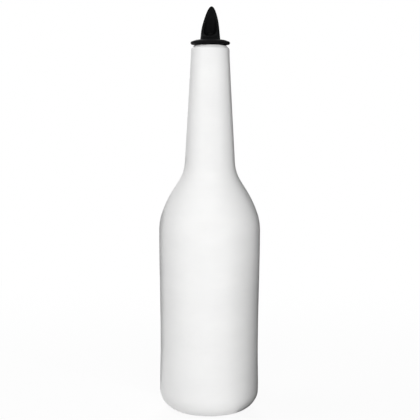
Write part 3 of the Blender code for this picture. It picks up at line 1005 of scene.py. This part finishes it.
# Camera, fitted to the photograph: a 420 pixel frame, 25 degrees high
CAMERA_PIXELS = 420
CAMERA_FOCAL_PIXELS = 946
CAMERA_SENSOR = 36.0
CAMERA_CLIP = (0.01, 100.0)
CAMERA_DISTANCE = 0.698
CAMERA_HEIGHT = 0.215
CAMERA_TILT = math.radians(5.39)
CAMERA_ROLL = math.radians(0.20)
CAMERA_PAN = math.radians(-0.018)

# Floor, just under the base: its own shade, and how white it looks near the bottle and far off
FLOOR_SIZE = 8.0
FLOOR_DROP = 0.0001
FLOOR_SHADE = 0.82
FLOOR_ROUGHNESS = 0.9
FLOOR_GLOW = 0.93
FLOOR_GLOW_FAR = 1.0
FLOOR_FADE = (0.15, 0.60)

# Lamps and black cards round the bottle
LAMP_AIM = Vector((0.0, 0.0, 0.13))
CARD_SHADE = 0.003
CARD_ROUGHNESS = 1.0
CARD_STEPS = 24
CARD_LIFT = 0.0001


def make_camera():
    lens = bpy.data.cameras.new("camera")
    lens.sensor_width = CAMERA_SENSOR
    lens.lens = CAMERA_SENSOR * CAMERA_FOCAL_PIXELS / CAMERA_PIXELS
    lens.clip_start, lens.clip_end = CAMERA_CLIP
    camera = new_object("camera", lens)
    camera.location = (0.0, -CAMERA_DISTANCE, CAMERA_HEIGHT)
    pan = Matrix.Rotation(CAMERA_PAN, 4, "Z")
    tilt = Matrix.Rotation(math.pi / 2 - CAMERA_TILT, 4, "X")
    roll = Matrix.Rotation(CAMERA_ROLL, 4, "Z")
    camera.rotation_euler = (pan @ tilt @ roll).to_euler()
    bpy.context.scene.camera = camera


def seen_directly(nodes):
    """1 for what the camera, gloss and clear plastic show, and 0 for light on the object."""
    path = nodes.add("ShaderNodeLightPath").outputs
    seen = nodes.math("MAXIMUM", path["Is Camera Ray"], path["Is Glossy Ray"])
    return nodes.math("MAXIMUM", seen, path["Is Transmission Ray"])


def matt(name, shade, roughness):
    """A grey without gloss, for what stands round the bottle."""
    material = bpy.data.materials.new(name)
    material.use_nodes = True
    shader = material.node_tree.nodes["Principled BSDF"]
    shader.inputs["Base Color"].default_value = (shade, shade, shade, 1.0)
    shader.inputs["Roughness"].default_value = roughness
    shader.inputs["Specular IOR Level"].default_value = 0.0
    return material


def make_floor():
    """A wide floor that keeps the bottle's soft shadow and runs out into white."""
    material = matt("pale_floor", FLOOR_SHADE, FLOOR_ROUGHNESS)
    made = material.node_tree.nodes
    nodes = Nodes(material.node_tree)
    place = nodes.add("ShaderNodeTexCoord").outputs["Object"]
    away = nodes.add("ShaderNodeMapRange", {
        "Value": nodes.vector("LENGTH", place).outputs["Value"],
        "From Min": FLOOR_FADE[0], "From Max": FLOOR_FADE[1],
        "To Min": FLOOR_GLOW, "To Max": FLOOR_GLOW_FAR}, interpolation_type="SMOOTHSTEP")
    glow = nodes.add("ShaderNodeEmission", {"Strength": 1.0})
    mixed = nodes.add("ShaderNodeMixShader", {
        0: nodes.math("MULTIPLY", seen_directly(nodes), away.outputs["Result"]),
        1: made["Principled BSDF"].outputs["BSDF"], 2: glow.outputs["Emission"]})
    nodes.tree.links.new(mixed.outputs["Shader"], made["Material Output"].inputs["Surface"])
    half = FLOOR_SIZE / 2
    corners = [(-half, -half, 0.0), (half, -half, 0.0), (half, half, 0.0), (-half, half, 0.0)]
    mesh = bpy.data.meshes.new("floor")
    mesh.from_pydata(corners, [], [(0, 1, 2, 3)])
    mesh.materials.append(material)
    floor = new_object("floor", mesh)
    floor.location.z = -FLOOR_DROP


def make_world():
    """White for the camera and the gloss. All the light on the bottle comes from the lamps."""
    world = bpy.data.worlds.new("studio")
    world.use_nodes = True
    bpy.context.scene.world = world
    nodes = Nodes(world.node_tree)
    backdrop = world.node_tree.nodes["Background"]
    backdrop.inputs["Color"].default_value = (1.0, 1.0, 1.0, 1.0)
    nodes.tree.links.new(seen_directly(nodes), backdrop.inputs["Strength"])


def softbox(name, azimuth, distance, height, size, power):
    """A lamp that looks at the bottle. Azimuth 0 is the camera's side and 90 the right.

    The gloss shows the white room instead of the lamps, as a plastic does under a light tent.
    """
    light = bpy.data.lights.new(name, "AREA")
    light.shape = "RECTANGLE"
    light.size, light.size_y = size
    light.energy = power
    lamp = new_object(name, light)
    turn = math.radians(azimuth)
    place = Vector((math.sin(turn) * distance, -math.cos(turn) * distance, height))
    lamp.location = place
    lamp.rotation_euler = (LAMP_AIM - place).to_track_quat("-Z", "Y").to_euler()
    lamp.visible_camera = lamp.visible_glossy = False


def black_sheet(name, azimuths, near, far):
    """A black sheet round part of the bottle, from one (radius, height) out or up to another.

    It throws no shadow and is never seen itself.
    """
    rows = []
    for step in range(CARD_STEPS + 1):
        turn = math.radians(azimuths[0] + (azimuths[1] - azimuths[0]) * step / CARD_STEPS)
        rows += [(r * math.sin(turn), -r * math.cos(turn), z) for r, z in (near, far)]
    faces = [(at, at + 1, at + 3, at + 2) for at in range(0, 2 * CARD_STEPS, 2)]
    mesh = bpy.data.meshes.new(name)
    mesh.from_pydata(rows, [], faces)
    mesh.materials.append(card_black)
    sheet = new_object(name, mesh)
    sheet.visible_camera = sheet.visible_transmission = sheet.visible_shadow = False
    return sheet


def upright_card(name, azimuths, distance, top):
    """A card that stands round part of the bottle. Only the gloss shows it."""
    card = black_sheet(name, azimuths, (distance, 0.0), (distance, top))
    card.visible_diffuse = False


def floor_card(name, azimuths, near, far):
    """A card on the floor. The gloss shows it, and no light comes up off the floor there."""
    black_sheet(name, azimuths, (near, CARD_LIFT), (far, CARD_LIFT))


make_camera()
make_floor()
make_world()

# Each lamp's azimuth in degrees, distance, height, its face's width and height, and watts
softbox("floor_front_softbox", 0, 1.0, 0.10, (1.00, 0.18), 2.4)
softbox("floor_right_softbox", 35, 1.0, 0.15, (0.40, 0.28), 0.9)
softbox("low_front_softbox", -1, 1.1, 0.20, (1.00, 0.40), 1.0)
softbox("high_front_softbox", 2, 1.1, 0.90, (0.80, 0.50), 9.0)
softbox("upper_left_softbox", -90, 0.5, 1.10, (0.50, 0.50), 3.7)
softbox("back_softbox", 180, 1.1, 0.45, (0.40, 0.80), 13.0)

# Each card's first and last azimuth, then its distance and top, or its near and far radius
card_black = matt("black_card", CARD_SHADE, CARD_ROUGHNESS)
upright_card("back_right_card", (120, 180), 0.32, 0.50)
upright_card("back_left_card", (180, 230), 0.32, 0.18)
upright_card("front_card", (-30, 30), 0.80, 0.60)
floor_card("floor_card", (45, 230), 0.024, 0.9)

bpy.context.scene.view_settings.view_transform = "Standard"
